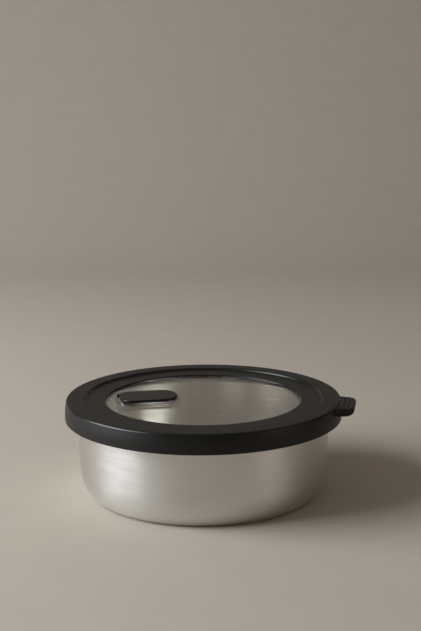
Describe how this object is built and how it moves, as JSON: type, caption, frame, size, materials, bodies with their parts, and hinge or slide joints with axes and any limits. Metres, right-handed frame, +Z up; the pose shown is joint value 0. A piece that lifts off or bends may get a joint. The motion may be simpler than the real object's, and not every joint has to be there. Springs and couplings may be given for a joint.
{
  "type": "food storage container",
  "caption": "Round stainless steel food container with a lift-off black lid that has a clear window, a pull tab and a flip-up vent flap.",
  "frame": {"origin": "centre of the bowl's flat base, on the surface that it stands on", "axes": "+Z up out of the bowl; +X from the bowl's axis to the lid's pull tab"},
  "size_m": [0.1853, 0.1766, 0.0615],
  "materials": {
    "satin_steel": "satin brushed stainless steel",
    "black_plastic": "fine matte moulded black polypropylene",
    "clear_plastic": "clear moulded plastic",
    "silicone": "soft translucent silicone",
    "flap_plastic": "fine matte moulded black plastic"
  },
  "bodies": {
    "bowl": {"bowl": "satin_steel"},
    "lid": {"lid_frame": "black_plastic", "lid_window": "clear_plastic", "lid_seal": "silicone"},
    "vent": {"vent_flap": "flap_plastic", "vent_stopper": "silicone"}
  },
  "joints": [
    {"name": "lid_lift", "type": "slide", "parent": "bowl", "child": "lid", "axis": [0, 0, 1], "range_m": [0, 0.06]},
    {"name": "vent_hinge", "type": "hinge", "parent": "lid", "child": "vent", "pos_m": [-0.05052, -0.00543, 0.0573], "axis": [0.3502, -0.9367, 0], "range_deg": [0, 90]}
  ]
}
